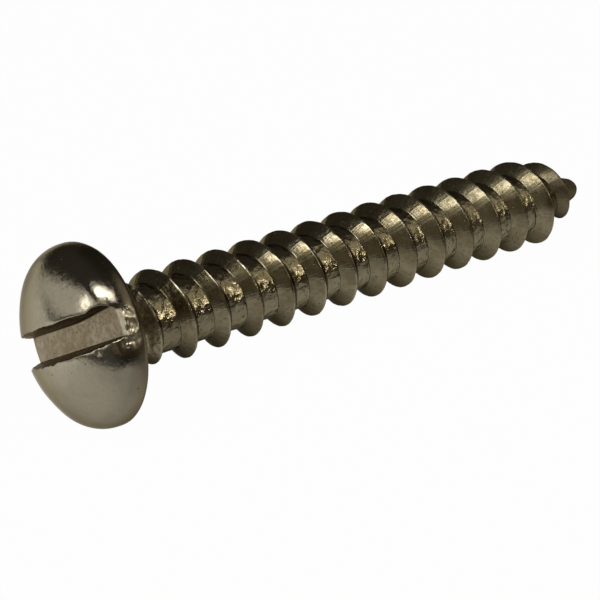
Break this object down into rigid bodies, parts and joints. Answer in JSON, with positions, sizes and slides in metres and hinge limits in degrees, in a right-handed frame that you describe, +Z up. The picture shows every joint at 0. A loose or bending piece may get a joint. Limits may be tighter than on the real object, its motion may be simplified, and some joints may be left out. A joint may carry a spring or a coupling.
{
  "type": "self-tapping screw",
  "caption": "Slotted round-head self-tapping screw with a coarse right-hand thread that runs right up to the head and a gimlet point, lying on its side.",
  "frame": {"origin": "on the surface it lies on, under the middle of the screw", "axes": "+X along the screw from its head to its point, +Z up; the point dips 4.2 degrees, as the screw lies on its head's edge and on its thread"},
  "size_m": [0.0404, 0.0104, 0.0103],
  "materials": {
    "plated_steel": "worn nickel plating, bright on the crests and a warm grey in the roots"
  },
  "bodies": {
    "root": {"screw": "plated_steel"}
  },
  "joints": []
}
